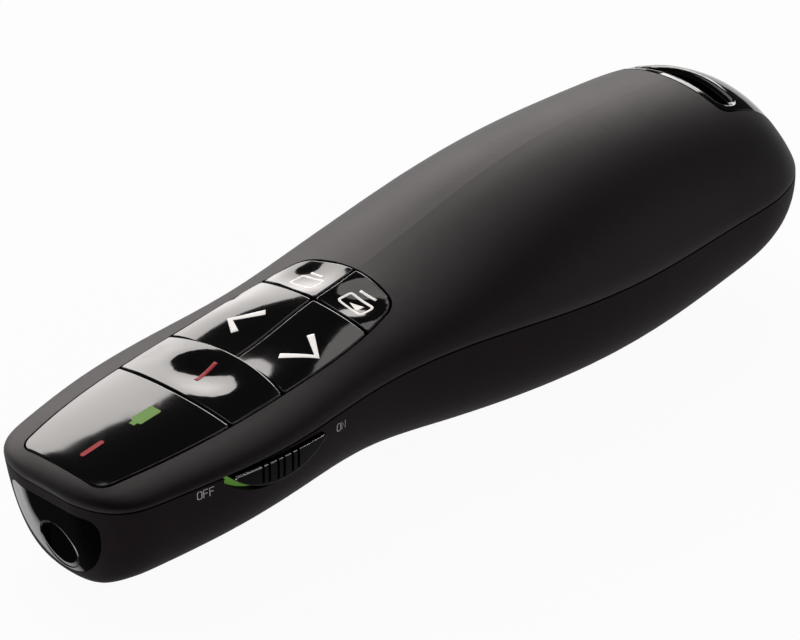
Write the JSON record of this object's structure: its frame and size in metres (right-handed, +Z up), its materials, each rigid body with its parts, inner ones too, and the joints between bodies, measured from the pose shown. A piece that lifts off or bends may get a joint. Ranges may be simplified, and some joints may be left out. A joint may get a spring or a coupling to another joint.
{
  "type": "wireless presentation clicker",
  "caption": "Hand-held presentation remote: waisted soft-touch body, gloss keypad with status window, side power slider, laser nose and a USB receiver stored in the tail.",
  "frame": {"origin": "bottom centre of the bounding box, on the plane it lies on", "axes": "+X from the laser nose to the tail with the receiver, +Z up out of the keys, +Y to the user's right; the power slider is on -Y"},
  "size_m": [0.1152, 0.0378, 0.0274],
  "materials": {
    "soft_touch_shell": "soft-touch matte",
    "gloss_black": "polished",
    "slider_black": "satin",
    "green_strip": "printed",
    "red_lens": "tinted",
    "green_lens": "tinted",
    "clear_window": "clear",
    "inner_plastic": "moulded",
    "circuit_board": "solder mask",
    "component_black": "epoxy",
    "switch_tan": "moulded",
    "steel": "plated",
    "brass": "turned",
    "cell_wrap": "plain wrap",
    "led_body": "moulded",
    "white_plastic": "moulded"
  },
  "bodies": {
    "housing": {"top_shell": "soft_touch_shell", "bottom_shell": "soft_touch_shell", "nose_panel": "gloss_black", "laser_aperture_window": "clear_window", "status_window": "gloss_black", "laser_indicator_lens": "red_lens", "battery_indicator_lens": "green_lens", "key_frame": "inner_plastic", "frame_screws": "steel", "main_circuit_board": "circuit_board", "key_switch_bases": "component_black", "red_indicator_led": "led_body", "green_indicator_led": "led_body", "controller_chip": "component_black", "radio_chip": "component_black", "crystal_can": "steel", "laser_barrel": "brass", "lens_ring": "component_black", "collimator_lens": "clear_window", "laser_diode": "steel", "laser_leads": "brass", "power_on_strip": "green_strip", "slide_switch_body": "steel", "battery_1": "cell_wrap", "battery_2": "cell_wrap", "battery_springs": "steel", "negative_contact": "steel", "positive_contact": "steel", "bridge_contact": "steel", "battery_tray": "inner_plastic", "shell_screws": "steel"},
    "laser_key": {"laser_button": "gloss_black", "laser_plunger": "switch_tan"},
    "next_key": {"next_button": "gloss_black", "next_plunger": "switch_tan"},
    "previous_key": {"previous_button": "gloss_black", "previous_plunger": "switch_tan"},
    "blank_screen_key": {"blank_screen_button": "gloss_black", "blank_screen_plunger": "switch_tan"},
    "slideshow_key": {"slideshow_button": "gloss_black", "slideshow_plunger": "switch_tan"},
    "slider": {"power_slider": "slider_black", "slide_switch_knob": "component_black"},
    "door": {"battery_door": "soft_touch_shell"},
    "receiver": {"receiver_head": "gloss_black", "receiver_case": "inner_plastic", "usb_plug_shell": "steel", "usb_tongue": "white_plastic", "usb_contacts": "brass", "receiver_board": "circuit_board", "receiver_chip": "component_black"}
  },
  "joints": [
    {"name": "laser_key_press", "type": "slide", "parent": "housing", "child": "laser_key", "axis": [0, 0, -1], "range_m": [0, 0.0005], "stiffness_N_per_m": 1500, "springref_m": -0.0005},
    {"name": "next_key_press", "type": "slide", "parent": "housing", "child": "next_key", "axis": [0, 0, -1], "range_m": [0, 0.0005], "stiffness_N_per_m": 1500, "springref_m": -0.0005},
    {"name": "previous_key_press", "type": "slide", "parent": "housing", "child": "previous_key", "axis": [0, 0, -1], "range_m": [0, 0.0005], "stiffness_N_per_m": 1500, "springref_m": -0.0005},
    {"name": "blank_screen_key_press", "type": "slide", "parent": "housing", "child": "blank_screen_key", "axis": [0, 0, -1], "range_m": [0, 0.0005], "stiffness_N_per_m": 1500, "springref_m": -0.0005},
    {"name": "slideshow_key_press", "type": "slide", "parent": "housing", "child": "slideshow_key", "axis": [0, 0, -1], "range_m": [0, 0.0005], "stiffness_N_per_m": 1500, "springref_m": -0.0005},
    {"name": "power_slide", "type": "slide", "parent": "housing", "child": "slider", "axis": [-1, 0, 0], "range_m": [0, 0.0012]},
    {"name": "battery_door_slide", "type": "slide", "parent": "housing", "child": "door", "axis": [1, 0, 0], "range_m": [0, 0.065]},
    {"name": "receiver_slide", "type": "slide", "parent": "housing", "child": "receiver", "axis": [1, 0, 0], "range_m": [0, 0.06]}
  ]
}
